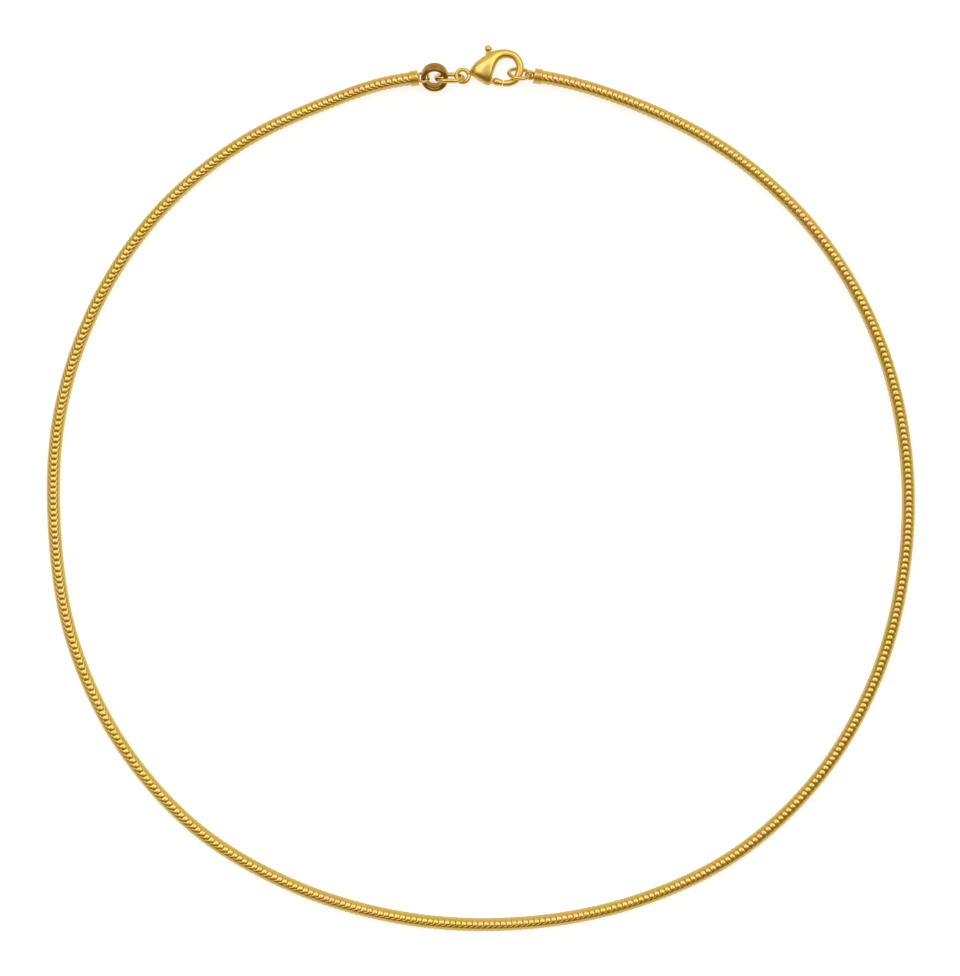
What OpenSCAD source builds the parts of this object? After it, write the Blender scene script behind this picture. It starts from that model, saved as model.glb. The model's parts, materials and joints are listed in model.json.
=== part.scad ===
// Snake chain necklace with a lobster clasp, laid flat in a closed loop.
// Millimetres. +Z is up from the surface it lies on, +Y points from the front of the loop to the clasp.

/* [Chain] */
// Diameter of the round chain
chain_d = 2.5; // [2:0.1:3.2]
// Radius of the loop, from its middle to the chain's centreline at the right
loop_r = 79; // [65:1:105]

/* [End caps] */
// Wall of the cup that holds the end of the chain
cap_wall = 0.15; // [0.1:0.05:0.4]
// Depth of the cup
cap_depth = 1; // [0.8:0.1:2]
// Thickness of the cup's closed end
cap_end = 0.5; // [0.4:0.1:1]
// Wire of the loop soldered to the closed end
loop_wire = 0.5; // [0.4:0.05:0.65]

/* [Jump rings and link] */
// Outer diameter of the large band ring on the left
ring_left_d = 5; // [4.9:0.1:5.6]
// Width of its band
ring_left_w = 2.55; // [1.8:0.05:2.55]
// Thickness of its band
ring_left_t = 0.85; // [0.7:0.05:0.9]
// Outer diameter of the ring that the hook holds
ring_right_d = 4.7; // [4.6:0.1:5.2]
// Wire of the ring that the hook holds
ring_right_wire = 0.75; // [0.6:0.05:0.75]
// Outer length of the oval link
link_l = 5.7; // [5.5:0.05:6]
// Wire of the oval link
link_wire = 0.85; // [0.7:0.05:0.85]

/* [Clasp body] */
// From the middle of the eye to the far side of the hook
clasp_l = 11.35; // [11:0.05:14]
// Height of the claw, from the gate to the top of its back
clasp_h = 6.95; // [6.7:0.05:9]
// Width of the body where it is fattest
body_w = 6.1; // [5.6:0.1:6.6]
// Thickness of the body where it is fattest
body_t = 3.1; // [2.8:0.1:3.6]
// Wire of the hook
hook_wire = 1.45; // [1.2:0.05:1.5]
// Wire of the eye
eye_wire = 0.8; // [0.7:0.02:0.8]
// Outer diameter of the eye
eye_d = 3.12; // [3.1:0.02:3.6]

/* [Clasp lever] */
// Thickness of the lever's plate
lever_t = 0.8; // [0.6:0.1:1]
// Diameter of the plate around the pin
hub_d = 1.9; // [1.6:0.1:2.1]
// Width of the arm that carries the knob
arm_w = 0.9; // [0.7:0.1:1.1]
// Diameter of the thumb knob
knob_d = 1.35; // [1.1:0.05:1.5]
// From the pin to the middle of the knob
knob_reach = 5.5; // [5.4:0.1:7]
// Diameter of the round gate at its root
gate_d = 1.5; // [1.1:0.05:1.5]
// Diameter of the gate at its tip
gate_tip_d = 1.1; // [0.9:0.05:1.3]
// From the pin to the gate's tip
gate_reach = 2.96; // [2.8:0.02:3.2]
// Diameter of the pin
pin_d = 0.8; // [0.6:0.1:0.9]
// How far the lever turns when it opens, in degrees
lever_travel = 22; // [15:1:24]

/* [Fits] */
// Clearance between linked rings and between the gate and the nose
ring_gap = 0.12; // [0.1:0.02:0.2]
// Clearance of the link's sides from the edges of the band
link_gap = 0.2; // [0.2:0.01:0.3]
// Clearance around the chain in its cup
cup_gap = 0.05; // [0.02:0.01:0.1]
// Clearance on each face of the lever in its slot
slot_gap = 0.1; // [0.05:0.01:0.15]
// Running clearance around the pin in the lever
pin_gap = 0.04; // [0.02:0.01:0.08]
// Clearance around the pin in the body
rivet_gap = 0.01; // [0.01:0.01:0.03]

/* [Hidden] */

GOLD = [0.86, 0.66, 0.25];
DEEP_GOLD = [0.78, 0.56, 0.18];
PALE_GOLD = [0.91, 0.74, 0.38];

// The loop's route, left end to right end by way of the front: angle in degrees, and radius as
// a share of loop_r. The ends run into the caps.
chain_route = [
    [110, 0.974], [125, 0.985], [140, 0.995], [155, 0.999], [170, 1.002], [185, 1.003],
    [200, 1.020], [215, 1.033], [230, 1.038], [245, 1.028], [260, 1.021], [275, 1.021],
    [290, 1.031], [305, 1.043], [320, 1.039], [335, 1.024], [350, 1.007], [365, 0.998],
    [380, 0.994], [395, 0.989], [410, 0.981], [425, 0.972]];
// Cross-sections of the chain between two points of the route
chain_steps = 3;
// Sides of the chain's cross-section
chain_sides = 8;

// Centreline radii
ring_left_r = (ring_left_d - ring_left_t) / 2;
ring_right_r = (ring_right_d - ring_right_wire) / 2;
eye_r = (eye_d - eye_wire) / 2;
// The band's edges are round, and this is how far the middle of each lies from the band's middle
band_half = (ring_left_w - ring_left_t) / 2;
// The link goes round the band
link_end_r = ring_left_w / 2 + link_gap + link_wire / 2;
link_half = (link_l - link_wire) / 2 - link_end_r;

// End caps, whose loops fit the rings that pass through them. The left one is as long as the band
// is wide.
cap_d = chain_d + 2 * (cap_wall + cup_gap);
cap_l = cap_end + cap_depth;
loop_left_bore = ring_left_t + 4 * ring_gap;
loop_right_bore = ring_right_wire + 2 * ring_gap;
loop_left_r = (loop_left_bore + loop_wire) / 2;
loop_right_r = (loop_right_bore + loop_wire) / 2;
// Directions in which the chain leaves its caps, in degrees
left_heading = 187;
right_heading = -9;

// How the rings lean, in degrees. The link stands across the band, almost along the band's axis.
ring_left_tilt = 32;
ring_right_tilt = -60;
ring_right_turn = -7;
link_tilt = -68;

// Heights above the surface. The chain, the clasp's belly, the link and both rings touch it.
chain_z = chain_d / 2 * cos(180 / chain_sides);
clasp_z = body_t / 2;
ring_left_z = ring_left_r * sin(ring_left_tilt) + band_half * cos(ring_left_tilt) + ring_left_t / 2;
ring_right_z = ring_right_r * sin(-ring_right_tilt) + ring_right_wire / 2;
link_z = link_end_r * sin(-link_tilt) + link_wire / 2;

// Pivot of the lever from the eye, and the knob from the pivot
pivot = [clasp_l * 0.401, clasp_h * -0.072, 0];
knob_heading = 88;
knob = knob_reach * [cos(knob_heading), sin(knob_heading), 0];

// The row of the clasp lies across the back of the loop. These are its distance from the middle of
// the loop, how far each piece lies off that line, and where the eye and the loop's middle are
// along it.
row_reach = loop_r * 0.962;
eye_rise = 0.4;
ring_left_rise = 0.1;
ring_right_rise = 0.5;
eye_x = -3.35;
loop_x = 0.05;

// Middle of the loop, which puts the necklace's own middle at the origin: it reaches from the
// chain's front to the knob
front_reach = loop_r * 1.019 + chain_d / 2;
back_reach = row_reach + eye_rise + pivot.y + knob.y + knob_d / 2;
loop_mid = [loop_x, (front_reach - back_reach) / 2, 0];

// The row, worked out from the eye to both sides
row_y = loop_mid.y + row_reach;
eye_at = [eye_x, row_y + eye_rise, clasp_z];
pivot_at = eye_at + pivot;
hook_x = eye_x + clasp_l;
loop_right_x = hook_x + ring_gap + loop_wire / 2 + loop_right_r;
loop_right_at = [loop_right_x, row_y + ring_right_rise, ring_right_z];
ring_right_at = loop_right_at - ring_right_r * [cos(ring_right_turn), sin(ring_right_turn), 0];

// The link goes through the eye below its own middle, where its round end has come this far back
link_drop = (link_z - clasp_z) / sin(-link_tilt);
link_back = link_end_r - sqrt(link_end_r * link_end_r - link_drop * link_drop);
link_right_x = eye_x - eye_r + (eye_wire + link_wire) / 2 + 2 * ring_gap + link_back;
// The band's middle lies this far into the link's other end, where both of its edges clear it
band_room = link_end_r - (link_wire + ring_left_t) / 2 - 1.5 * ring_gap;
band_in = sqrt(max(0, band_room * band_room - band_half * band_half));
ring_left_x = link_right_x - 2 * link_half - link_end_r - band_in - ring_left_r;
ring_left_at = [ring_left_x, row_y + ring_left_rise, ring_left_z];
// The link's middle lies on the band's axis, seen along the row
link_rise = (link_z - ring_left_z) / tan(ring_left_tilt);
link_at = [link_right_x - link_half - link_end_r, ring_left_at.y + link_rise, link_z];
loop_left_at = ring_left_at - [ring_left_r, 0, 0];

// The clasp's sections from the eye to the nose, in shares of the named sizes: middle of the
// section along clasp_l and clasp_h, its direction in degrees, and how far its width and its
// thickness go from the hook's wire (0) to the body's fattest (1)
CLASP = [
    [0.100, 0.065, 108, -0.14, -0.36],
    [0.141, 0.086, 106, -0.03, -0.10],
    [0.194, 0.127, 94, 0.26, 0.35],
    [0.286, 0.151, 91, 0.61, 0.78],
    [0.379, 0.165, 90, 0.89, 0.96],
    [0.449, 0.201, 90, 1.00, 1.00],
    [0.493, 0.338, 90, 0.66, 0.90],
    [0.531, 0.432, 88, 0.45, 0.70],
    [0.568, 0.508, 86, 0.26, 0.48],
    [0.617, 0.561, 84, 0.12, 0.28],
    [0.683, 0.587, 83, 0.06, 0.14],
    [0.758, 0.576, 77, 0.03, 0.05],
    [0.831, 0.537, 65, 0.01, 0],
    [0.885, 0.453, 48, 0, 0],
    [0.921, 0.345, 31, 0, 0],
    [0.937, 0.230, 14, 0, 0],
    [0.931, 0.115, -4, 0, 0],
    [0.907, 0.007, -22, 0, 0],
    [0.866, -0.094, -41, 0, 0],
    [0.809, -0.161, -59, -0.02, -0.02],
    [0.749, -0.194, -78, -0.04, -0.06]];
// Cross-sections of the clasp between two rows of the table
clasp_steps = 2;
// Points around a section, and how square it is (2 is an ellipse)
clasp_sides = 20;
clasp_power = 2.3;

// Where the gate's middle lies, as an angle seen from the pin
gate_heading = -16.6;
gate_root = [gate_reach * 0.575, gate_reach * -0.19, 0];
gate_tip = gate_reach * [cos(gate_heading), sin(gate_heading), 0];
// The nose faces the gate's tip across the gap
nose_reach = gate_reach + ring_gap;
nose = [pivot.x + nose_reach * cos(gate_heading), pivot.y + nose_reach * sin(gate_heading)];
slot_t = lever_t + 2 * slot_gap;
pin_l = body_t * 0.84;

// Catmull-Rom curve through a list of rows
function row_at(rows, i) = rows[max(0, min(len(rows) - 1, i))];
function blend(a, b, c, d, t) =
    0.5 * (2 * b + (c - a) * t + (2 * a - 5 * b + 4 * c - d) * t * t
           + (3 * b - a - 3 * c + d) * t * t * t);
function smooth(rows, u) =
    let (i = floor(u))
    blend(row_at(rows, i - 1), row_at(rows, i), row_at(rows, i + 1), row_at(rows, i + 2), u - i);

function unit(v) = v / norm(v);
function heading(a) = [cos(a), sin(a), 0];

// Closed skin over cross-sections that hold the same number of points
module skin(sections) {
    n = len(sections[0]);
    last = len(sections) - 1;
    points = [for (s = sections) each s];
    sides = [
        for (i = [0:last - 1])
        for (j = [0:n - 1])
        let (a = i * n + j, b = i * n + (j + 1) % n)
        each [[a, a + n, b], [b, a + n, b + n]]];
    ends = [[for (j = [0:n - 1]) j], [for (j = [n - 1:-1:0]) last * n + j]];
    polyhedron(points, concat(sides, ends), convexity = 6);
}

// Where the chain enters and where it ends in a cap
function mouth(loop_at, loop_bore, a) = loop_at + (loop_bore / 2 + loop_wire / 2 + cap_l) * heading(a);
function seat(loop_at, loop_bore, a) = mouth(loop_at, loop_bore, a) - (cap_depth - cup_gap) * heading(a);

mouth_left = mouth(loop_left_at, loop_left_bore, left_heading);
mouth_right = mouth(loop_right_at, loop_right_bore, right_heading);
seat_left = seat(loop_left_at, loop_left_bore, left_heading);
seat_right = seat(loop_right_at, loop_right_bore, right_heading);

// The route as points, with one more beyond each mouth so that the chain leaves it straight
loop_points = [for (p = chain_route) loop_mid + loop_r * p[1] * heading(p[0]) + [0, 0, chain_z]];
first_point = loop_points[0];
last_point = loop_points[len(loop_points) - 1];
before = first_point - 2 * norm(first_point - mouth_left) * heading(left_heading);
after = last_point - 2 * norm(last_point - mouth_right) * heading(right_heading);
chain_points = concat([before, mouth_left], loop_points, [mouth_right, after]);
chain_last = len(chain_points) - 2;

// A point of the chain's centreline, which never sinks under the height at which it lies
function chain_at(u) = let (p = smooth(chain_points, u)) [p.x, p.y, max(p.z, chain_z)];

function chain_ring(p, ahead) =
    let (t = unit(ahead), side = unit(cross([0, 0, 1], t)), up = cross(t, side))
    [for (j = [0:chain_sides - 1])
        let (a = (j + 0.5) * 360 / chain_sides)
        p + chain_d / 2 * (cos(a) * side + sin(a) * up)];

module chain() {
    count = (chain_last - 1) * chain_steps;
    stations = [for (k = [0:count]) 1 + k / chain_steps];
    middle = [for (u = stations) chain_ring(chain_at(u), chain_at(u + 0.01) - chain_at(u - 0.01))];
    color(GOLD)
        skin(concat([chain_ring(seat_left, heading(left_heading))], middle,
                    [chain_ring(seat_right, -heading(right_heading))]));
}

// Round wire bent to a ring around Z
module wire_ring(r, wire) {
    rotate_extrude($fn = 96)
        translate([r, 0])
            circle(d = wire, $fn = 48);
}

// Oval ring that is longer along X: two half rings joined by two straight wires
module oval_ring(half, r, wire) {
    for (end = [0, 180])
        rotate([0, 0, end]) {
            translate([half, 0, 0])
                rotate([0, 0, -90])
                    rotate_extrude(angle = 180, $fn = 96)
                        translate([r, 0])
                            circle(d = wire, $fn = 48);
            translate([-half, r, 0])
                rotate([0, 90, 0])
                    cylinder(d = wire, h = 2 * half, $fn = 48);
        }
}

// Cup for the chain's end, whose closed end lies at the side of the loop that is soldered to it.
// The loop's middle is at the origin and the cup opens along +X.
module cup(loop_r) {
    edge = cap_end / 2;
    translate([loop_r, 0, 0])
        rotate([0, 90, 0])
            difference() {
                rotate_extrude($fn = 64)
                    polygon([[0, 0], [cap_d / 2 - edge, 0], [cap_d / 2, edge], [cap_d / 2, cap_l],
                             [0, cap_l]]);
                translate([0, 0, cap_end])
                    cylinder(d = chain_d + 2 * cup_gap, h = cap_l, $fn = 64);
            }
}

module end_cap_left() {
    color(DEEP_GOLD)
        translate(loop_left_at)
            rotate([0, 0, left_heading]) {
                rotate([-(90 + ring_left_tilt), 0, 0])
                    rotate([0, 0, 90])
                        oval_ring(band_half, loop_left_r, loop_wire);
                cup(loop_left_r);
            }
}

module end_cap_right() {
    color(DEEP_GOLD)
        translate(loop_right_at)
            rotate([0, 0, right_heading]) {
                rotate([90 + ring_right_tilt, 0, 0])
                    wire_ring(loop_right_r, loop_wire);
                cup(loop_right_r);
            }
}

module ring_left() {
    color(DEEP_GOLD)
        translate(ring_left_at)
            rotate([ring_left_tilt, 0, 0])
                rotate_extrude($fn = 96)
                    translate([ring_left_r, 0]) {
                        square([ring_left_t, 2 * band_half], center = true);
                        for (edge = [-band_half, band_half])
                            translate([0, edge])
                                circle(d = ring_left_t, $fn = 48);
                    }
}

module ring_right() {
    color(PALE_GOLD)
        translate(ring_right_at)
            rotate([ring_right_tilt, 0, ring_right_turn])
                wire_ring(ring_right_r, ring_right_wire);
}

module small_link() {
    color(PALE_GOLD)
        translate(link_at)
            rotate([link_tilt, 0, 0])
                oval_ring(link_half, link_end_r, link_wire);
}

// A superellipse section of the clasp, from one row of its table
function clasp_ring(x, y, turn, wide, thick) =
    [for (j = [0:clasp_sides - 1])
        let (a = j * 360 / clasp_sides,
             c = sign(cos(a)) * pow(abs(cos(a)), 2 / clasp_power),
             s = sign(sin(a)) * pow(abs(sin(a)), 2 / clasp_power))
        [x, y, 0] + wide / 2 * c * heading(turn) + [0, 0, thick / 2 * s]];

function clasp_row(r) =
    [clasp_l * r[0], clasp_h * r[1], r[2], hook_wire + (body_w - hook_wire) * r[3],
     hook_wire + (body_t - hook_wire) * r[4]];

module clasp_shell() {
    nose_row = [nose.x, nose.y, gate_heading - 90, hook_wire * 0.8, hook_wire * 0.85];
    rows = concat([for (r = CLASP) clasp_row(r)], [nose_row]);
    count = (len(rows) - 1) * clasp_steps;
    skin([for (k = [0:count])
        let (r = smooth(rows, k / clasp_steps))
        clasp_ring(r[0], r[1], r[2], r[3], r[4])]);
}

// A flat wedge of the slot around the pin, between two headings
module slot_wedge(from, to, reach) {
    arc = [for (k = [0:8]) let (a = from + (to - from) * k / 8) reach * [cos(a), sin(a)]];
    linear_extrude(slot_t, center = true)
        polygon(concat([[0, 0]], arc));
}

// Slot for the lever's arm, hub and gate, which runs out of the body's back and its lower side
module lever_slot() {
    arm_room = arm_w + 3 * slot_gap;
    reach = knob_reach * 1.1;
    slot_wedge(knob_heading, knob_heading + lever_travel, reach);
    for (a = [knob_heading, knob_heading + lever_travel])
        rotate([0, 0, a])
            translate([reach / 2, 0, 0])
                cube([reach, arm_room, slot_t], center = true);
    slot_wedge(-120, lever_travel + gate_heading + 30, gate_reach);
    cylinder(d = hub_d + 3 * slot_gap, h = slot_t, center = true, $fn = 48);
}

module clasp_body() {
    color(GOLD)
        translate(eye_at) {
            wire_ring(eye_r, eye_wire);
            difference() {
                clasp_shell();
                translate(pivot) {
                    lever_slot();
                    cylinder(d = pin_d + 2 * rivet_gap, h = 2 * body_t, center = true, $fn = 32);
                }
            }
        }
}

module clasp_pin() {
    color(DEEP_GOLD)
        translate(pivot_at)
            cylinder(d = pin_d, h = pin_l, center = true, $fn = 32);
}

// The plate in the slot: hub, arm and the root of the gate
module lever_plate() {
    side = arm_w / 2 * heading(knob_heading - 90);
    linear_extrude(lever_t, center = true) {
        circle(d = hub_d, $fn = 48);
        polygon([for (p = [side, knob + side, knob - side, -side]) [p.x, p.y]]);
        polygon([[0, -hub_d / 2], [gate_root.x, gate_root.y - gate_d * 0.3],
                 [gate_root.x, gate_root.y + gate_d * 0.3], [0, hub_d * 0.2]]);
    }
}

// Round gate that tapers from its ball-shaped root to the tip, which is cut round about the pin
module gate() {
    run = gate_tip - gate_root;
    translate(gate_root)
        sphere(d = gate_d, $fn = 32);
    intersection() {
        translate(gate_root)
            rotate([0, 0, atan2(run.y, run.x)])
                rotate([0, 90, 0])
                    cylinder(d1 = gate_d, d2 = 2 * gate_tip_d - gate_d, h = 2 * norm(run), $fn = 32);
        cylinder(r = gate_reach, h = 2 * gate_d, center = true, $fn = 96);
    }
}

module clasp_lever() {
    color(PALE_GOLD)
        translate(pivot_at)
            difference() {
                union() {
                    lever_plate();
                    gate();
                    translate(knob)
                        sphere(d = knob_d, $fn = 32);
                }
                cylinder(d = pin_d + 2 * pin_gap, h = 2 * lever_t, center = true, $fn = 32);
            }
}

chain();
end_cap_left();
ring_left();
small_link();
clasp_body();
clasp_pin();
clasp_lever();
ring_right();
end_cap_right();
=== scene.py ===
import json
import math

import bpy
import numpy as np
from bpy.props import FloatProperty, FloatVectorProperty, IntProperty, PointerProperty
from mathutils import Matrix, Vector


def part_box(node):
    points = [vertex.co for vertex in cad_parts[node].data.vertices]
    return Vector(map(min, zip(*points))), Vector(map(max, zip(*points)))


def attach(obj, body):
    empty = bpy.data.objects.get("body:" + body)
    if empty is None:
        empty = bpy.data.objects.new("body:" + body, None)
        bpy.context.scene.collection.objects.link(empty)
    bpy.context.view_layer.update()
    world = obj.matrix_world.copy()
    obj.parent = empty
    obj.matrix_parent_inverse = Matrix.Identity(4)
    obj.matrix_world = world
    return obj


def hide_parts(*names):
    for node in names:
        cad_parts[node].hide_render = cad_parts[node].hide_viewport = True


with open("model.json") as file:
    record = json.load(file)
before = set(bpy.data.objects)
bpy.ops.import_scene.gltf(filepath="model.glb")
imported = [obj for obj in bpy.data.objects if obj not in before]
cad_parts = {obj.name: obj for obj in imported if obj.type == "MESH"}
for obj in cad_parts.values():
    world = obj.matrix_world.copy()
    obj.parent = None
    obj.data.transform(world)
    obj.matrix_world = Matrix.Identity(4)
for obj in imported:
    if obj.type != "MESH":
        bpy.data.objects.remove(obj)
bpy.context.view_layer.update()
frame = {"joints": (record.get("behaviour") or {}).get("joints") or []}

bl_info = {
    "name": "Snake Chain Necklace",
    "version": (1, 0, 0),
    "blender": (4, 5, 0),
    "location": "View3D > Sidebar > Necklace",
    "description": "A round snake chain in a closed loop, with cupped ends, jump rings and a lobster clasp",
    "category": "Add Mesh",
}

# Bodies of the frame
NECKLACE = "necklace"
LEVER = "lever"

# The loop's route, left end to right end by way of the front: angle in degrees, and radius as a
# share of the loop's radius
CHAIN_ROUTE = [
    (110, 0.974), (125, 0.985), (140, 0.995), (155, 0.999), (170, 1.002), (185, 1.003),
    (200, 1.020), (215, 1.033), (230, 1.038), (245, 1.028), (260, 1.021), (275, 1.021),
    (290, 1.031), (305, 1.043), (320, 1.039), (335, 1.024), (350, 1.007), (365, 0.998),
    (380, 0.994), (395, 0.989), (410, 0.981), (425, 0.972)]
# Directions in which the chain leaves its caps, in degrees
LEFT_HEADING = 187
RIGHT_HEADING = -9
# The row of the clasp lies this share of the loop's radius from the loop's middle, and the large
# ring this far beyond that line
ROW_SHARE = 0.962
RING_LEFT_RISE = 0.0001
# The loop's middle lies this far to the right of the frame's origin
LOOP_X = 0.00005

# How the rings lie: tilt about the row and turn about the vertical, in degrees. The link stands
# across the band ring.
RING_LEFT_TILT = 32
LINK_TILT = -68
RING_RIGHT_TILT = -60
RING_RIGHT_TURN = -7

# The clasp's sections from the eye to the nose: middle of the section in shares of the clasp's
# length and height, its direction in degrees, and how far its width and its thickness go from the
# hook's wire (0) to the body's fattest (1)
CLASP_SECTIONS = [
    (0.100, 0.065, 108, -0.14, -0.36),
    (0.141, 0.086, 106, -0.03, -0.10),
    (0.194, 0.127, 94, 0.26, 0.45),
    (0.286, 0.151, 91, 0.61, 0.82),
    (0.379, 0.165, 90, 0.89, 0.97),
    (0.449, 0.201, 90, 1.00, 0.93),
    (0.493, 0.338, 90, 0.66, 0.78),
    (0.531, 0.432, 88, 0.45, 0.58),
    (0.568, 0.508, 86, 0.26, 0.40),
    (0.617, 0.561, 84, 0.12, 0.24),
    (0.683, 0.587, 83, 0.06, 0.14),
    (0.758, 0.576, 77, 0.03, 0.05),
    (0.831, 0.537, 65, 0.01, 0),
    (0.885, 0.453, 48, 0, 0),
    (0.921, 0.345, 31, 0, 0),
    (0.937, 0.230, 14, 0, 0),
    (0.931, 0.115, -4, 0, 0),
    (0.907, 0.007, -22, 0, 0),
    (0.866, -0.094, -41, 0, 0),
    (0.809, -0.161, -59, -0.02, -0.02),
    (0.749, -0.194, -78, -0.04, -0.06)]
# How square a section of the clasp is (2 is an ellipse)
CLASP_POWER = 2.3
# Pin of the lever from the eye, in shares of the clasp's length and height
PIVOT_SHARE = (0.401, -0.072)
# Directions of the knob and of the gate's tip from the pin, in degrees, and the gate's root in
# shares of the gate's reach
KNOB_HEADING = 88
GATE_HEADING = -16.6
GATE_ROOT_SHARE = (0.575, -0.19)
# Width and thickness of the nose, in shares of the hook's wire
NOSE_SHARES = (0.8, 0.85)
# The web from the hub to the gate: its lower and upper edge at the hub in shares of the hub, its
# half height at the gate's root in shares of the gate, and its thickness in shares of the plate
WEB_AT_HUB = (-0.48, 0.2)
WEB_AT_GATE = 0.3
WEB_THICKNESS = 0.98
# Bevels: of a plate in shares of its thickness, and of the gate's tip in shares of its radius
PLATE_BEVEL = 0.12
TIP_BEVEL = 0.25
# The pin's diameter in shares of its bore
PIN_FIT = 0.985
# A turned profile starts and ends this near its axis, so that its end is closed by a tiny fan
NEAR_AXIS = 0.00001


def length(name, description, value):
    """A size in metres that a user would change."""
    return FloatProperty(name=name, description=description, default=value, min=0, precision=5,
                         unit="LENGTH")


def tone(name, description, value):
    """A linear colour that a user would change."""
    return FloatVectorProperty(name=name, description=description, default=value, size=3, min=0,
                               max=1, subtype="COLOR")


class ChainSizes(bpy.types.PropertyGroup):
    """Sizes of the snake chain"""
    diameter: length("Diameter", "Thickness of the round chain", 0.0025)
    loop_radius: length("Loop radius", "From the loop's middle to the chain at the right", 0.079)
    rib_pitch: length("Rib pitch", "From one rib to the next", 0.00104)
    groove_depth: length("Groove depth", "How deep the groove between two ribs is", 0.00015)
    wave: length("Wave", "How far a rib's edge swings to and fro around the chain", 0.00024)
    valley: length("Valley", "Depth of the shallow valleys beside the rows of beads", 0.00005)
    jitter: length("Jitter", "How unevenly the ribs lie", 0.00003)
    roll: FloatProperty(name="Roll", description="How far the rows of beads lean to the clasp's side",
                        default=math.radians(14), subtype="ANGLE")
    rows: IntProperty(name="Rows", description="Rows of beads around the chain", default=3, min=1)
    sides: IntProperty(name="Sides", description="Points around the chain", default=48, min=16)


class CapSizes(bpy.types.PropertyGroup):
    """Sizes of the two end caps"""
    wall: length("Wall", "Wall of the cup", 0.00015)
    depth: length("Depth", "Depth of the cup", 0.001)
    end: length("Closed end", "Thickness of the cup's closed end", 0.0005)
    loop_wire: length("Loop wire", "Wire of the loop on the closed end", 0.0005)
    gap: length("Gap", "Clearance around the chain in its cup", 0.00005)


class RingSizes(bpy.types.PropertyGroup):
    """Sizes of the jump rings and the link"""
    left_diameter: length("Left ring", "Outer diameter of the large band ring", 0.005)
    left_width: length("Left ring band", "Width of its band", 0.00255)
    left_thickness: length("Left ring thickness", "Thickness of its band", 0.00085)
    right_diameter: length("Right ring", "Outer diameter of the ring in the hook", 0.0047)
    right_wire: length("Right ring wire", "Wire of the ring in the hook", 0.00075)
    link_length: length("Link length", "Outer length of the oval link", 0.0057)
    link_wire: length("Link wire", "Wire of the oval link", 0.00085)
    link_gap: length("Link gap", "Clearance of the link's sides from the band's edges", 0.0002)
    gap: length("Gap", "Clearance between linked rings", 0.00012)


class ClaspSizes(bpy.types.PropertyGroup):
    """Sizes of the lobster clasp and its lever"""
    length: length("Length", "From the middle of the eye to the hook's far side", 0.01135)
    height: length("Height", "From the gate to the top of the back", 0.00695)
    body_width: length("Body width", "Width of the body where it is fattest", 0.0061)
    body_thickness: length("Body thickness", "Thickness where it is fattest", 0.0031)
    hook_wire: length("Hook wire", "Wire of the hook", 0.00145)
    eye_wire: length("Eye wire", "Wire of the eye", 0.0008)
    eye_diameter: length("Eye", "Outer diameter of the eye", 0.00312)
    slot_gap: length("Slot gap", "Clearance on each face of the lever in its slot", 0.0001)
    pin_diameter: length("Pin", "Diameter of the pin", 0.0008)
    pin_gap: length("Pin gap", "Running clearance around the pin", 0.00004)
    plate: length("Plate", "Thickness of the lever's plate", 0.0008)
    hub: length("Hub", "Diameter of the plate around the pin", 0.0019)
    arm: length("Arm", "Width of the arm that carries the knob", 0.0009)
    knob: length("Knob", "Diameter of the thumb knob", 0.00135)
    knob_reach: length("Knob reach", "From the pin to the knob", 0.0055)
    gate: length("Gate root", "Diameter of the round gate at its root", 0.0015)
    gate_tip: length("Gate tip", "Diameter of the gate at its tip", 0.0011)
    gate_reach: length("Gate reach", "From the pin to the gate's tip", 0.00296)


class Finish(bpy.types.PropertyGroup):
    """Colours of the gold plate"""
    gold: tone("Gold", "Plate where it is cleanest", (0.84, 0.62, 0.22))
    green_gold: tone("Green gold", "Cooler parts of the plate", (0.76, 0.62, 0.13))
    red_gold: tone("Red gold", "Warmer parts of the plate", (0.86, 0.55, 0.25))
    # Darkens the chain's grooves: partly tarnish, partly painted shade where shade falls in them
    groove_tarnish_and_shade: tone("Deep gold", "Plate in grooves and corners", (0.40, 0.25, 0.04))
    # Painted shade: a dark colour over the band ring that stands in for the dark surroundings it reflects
    ring_painted_shade: tone("Worn gold", "Dull plate of the band ring", (0.34, 0.15, 0.02))
    roughness: FloatProperty(name="Roughness", description="Roughness of the polished plate",
                             default=0.16, min=0, max=1, subtype="FACTOR")


class StageSettings(bpy.types.PropertyGroup):
    """Floor, light and camera"""
    view_height: length("View height", "Height of the picture at the chain", 0.18056)
    camera_distance: length("Camera distance", "From the camera to the chain", 0.9)
    floor_size: length("Floor size", "Side of the square floor", 6.0)
    light: FloatProperty(name="Light", description="Strength of the studio light", default=1.0)


def heading(degrees):
    """Unit vector in the plane of the floor."""
    return np.array([math.cos(math.radians(degrees)), math.sin(math.radians(degrees)), 0.0])


def unit(vectors):
    """Vectors divided by their length."""
    return vectors / np.linalg.norm(vectors, axis=-1, keepdims=True)


def turn(points, degrees, axis):
    """Points turned about an axis through the origin."""
    return points @ np.array(Matrix.Rotation(math.radians(degrees), 3, axis)).T


def middle_of(node):
    """Middle of a CAD node's box."""
    low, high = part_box(node)
    return (np.array(low) + np.array(high)) / 2


def smooth_rows(rows, at):
    """Rows of a table between its own rows: a Catmull-Rom curve, which is the cubic through each
    row whose slope there is half the step from the row before to the row after."""
    rows = np.asarray(rows, float)
    i = np.floor(at).astype(int)
    t = (at - i)[:, None]
    a, b, c, d = (rows[np.clip(i + k, 0, len(rows) - 1)] for k in (-1, 0, 1, 2))
    return 0.5 * (2 * b + (c - a) * t + (2 * a - 5 * b + 4 * c - d) * t ** 2
                  + (3 * b - a - 3 * c + d) * t ** 3)


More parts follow.
